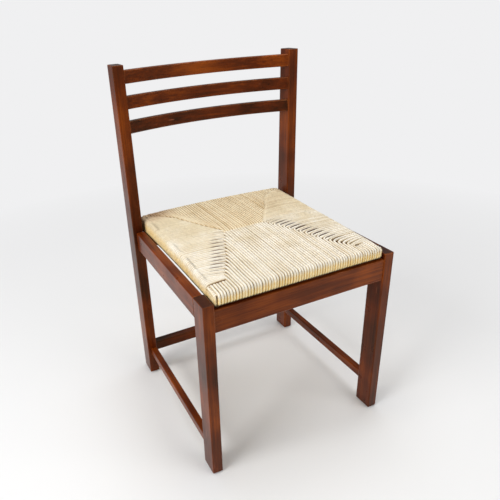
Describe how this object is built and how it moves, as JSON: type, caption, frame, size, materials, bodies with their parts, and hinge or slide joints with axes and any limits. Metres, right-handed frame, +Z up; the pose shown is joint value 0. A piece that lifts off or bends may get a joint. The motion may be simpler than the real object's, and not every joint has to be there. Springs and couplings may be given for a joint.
{
  "type": "ladderback dining chair",
  "caption": "Wooden dining chair with a low back of bowed slats, stretchers near the floor and a lift-out woven rush seat.",
  "frame": {"origin": "on the floor under the middle of the chair, half way between the legs' front faces and the back posts' rear faces", "axes": "+Z up, -Y towards the front of the chair, +X to the right as seen from the front"},
  "size_m": [0.468, 0.44, 0.818],
  "materials": {
    "stained_wood": "satin red-brown stain and varnish",
    "plain_wood": "bare hardwood",
    "rush": "twisted rush cord, dry and matt",
    "glide": "black moulded glide"
  },
  "bodies": {
    "frame": {"front_leg_left": "stained_wood", "front_leg_right": "stained_wood", "back_post_left": "stained_wood", "back_post_right": "stained_wood", "side_rail_left": "stained_wood", "side_rail_right": "stained_wood", "side_stretcher_left": "stained_wood", "side_stretcher_right": "stained_wood", "front_rail": "stained_wood", "back_rail": "stained_wood", "back_stretcher": "stained_wood", "top_slat": "stained_wood", "middle_slat": "stained_wood", "bottom_slat": "stained_wood", "foot_glides": "glide"},
    "seat": {"rush_seat": "rush", "seat_bar_front": "plain_wood", "seat_bar_back": "plain_wood", "seat_bar_left": "plain_wood", "seat_bar_right": "plain_wood", "seat_dowels": "plain_wood"}
  },
  "joints": [
    {"name": "seat_lift", "type": "slide", "parent": "frame", "child": "seat", "axis": [0, 0, 1], "range_m": [0, 0.12]}
  ]
}
